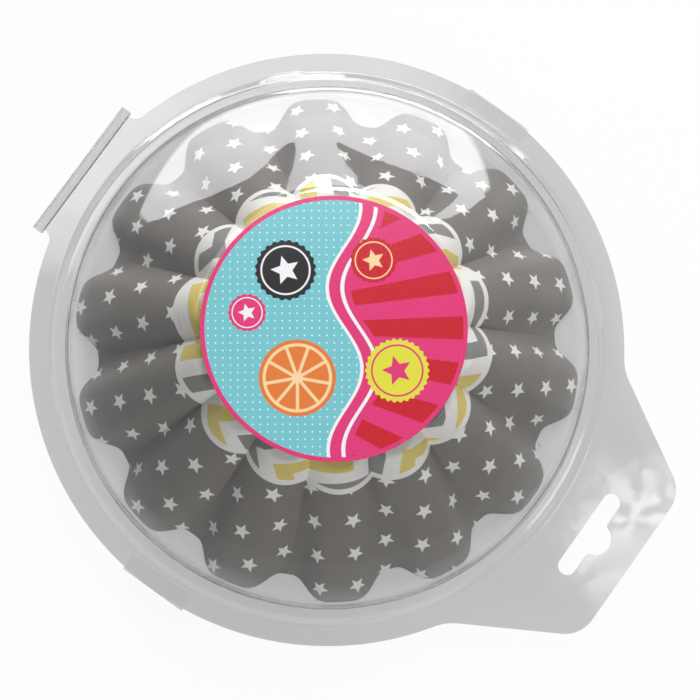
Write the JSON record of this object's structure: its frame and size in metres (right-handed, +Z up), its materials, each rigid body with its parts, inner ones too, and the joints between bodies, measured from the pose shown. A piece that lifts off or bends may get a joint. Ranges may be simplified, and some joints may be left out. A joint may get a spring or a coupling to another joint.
{
  "type": "brioche mould",
  "caption": "Nested fluted paper brioche moulds, upside down in a clear hinged case with a domed lid, closing bead, hang tab and round label.",
  "frame": {"origin": "centre of the face that the tray rests on", "axes": "+Z up through the domed lid, +Y towards the hang tab, hinge fold along X on the -Y side"},
  "size_m": [0.2224, 0.254, 0.0693],
  "materials": {
    "clear_sheet": "clear formed PET sheet, glossy",
    "clear_fold": "thin clear fold, slightly hazed",
    "printed_paper": "satin pressed baking paper, grey with white stars outside, white inside",
    "label_card": "glossy printed paper label",
    "seal_tape": "clear adhesive tape"
  },
  "bodies": {
    "case_base": {"case_tray": "clear_sheet", "living_hinge": "clear_fold", "seal_left_tray": "seal_tape", "seal_right_tray": "seal_tape"},
    "lid": {"case_lid": "clear_sheet", "front_label": "label_card", "seal_left_lid": "seal_tape", "seal_right_lid": "seal_tape"},
    "mould_stack": {"mould_outer": "printed_paper", "mould_middle": "printed_paper", "mould_inner": "printed_paper"}
  },
  "joints": [
    {"name": "lid_hinge", "type": "hinge", "parent": "case_base", "child": "lid", "pos_m": [0, -0.1154, 0.00868], "axis": [1, 0, 0], "range_deg": [0, 140], "deforming": ["living_hinge"]},
    {"name": "stack_turn", "type": "hinge", "parent": "case_base", "child": "mould_stack", "pos_m": [0, 0, 0], "axis": [0, 0, 1], "continuous": true}
  ]
}
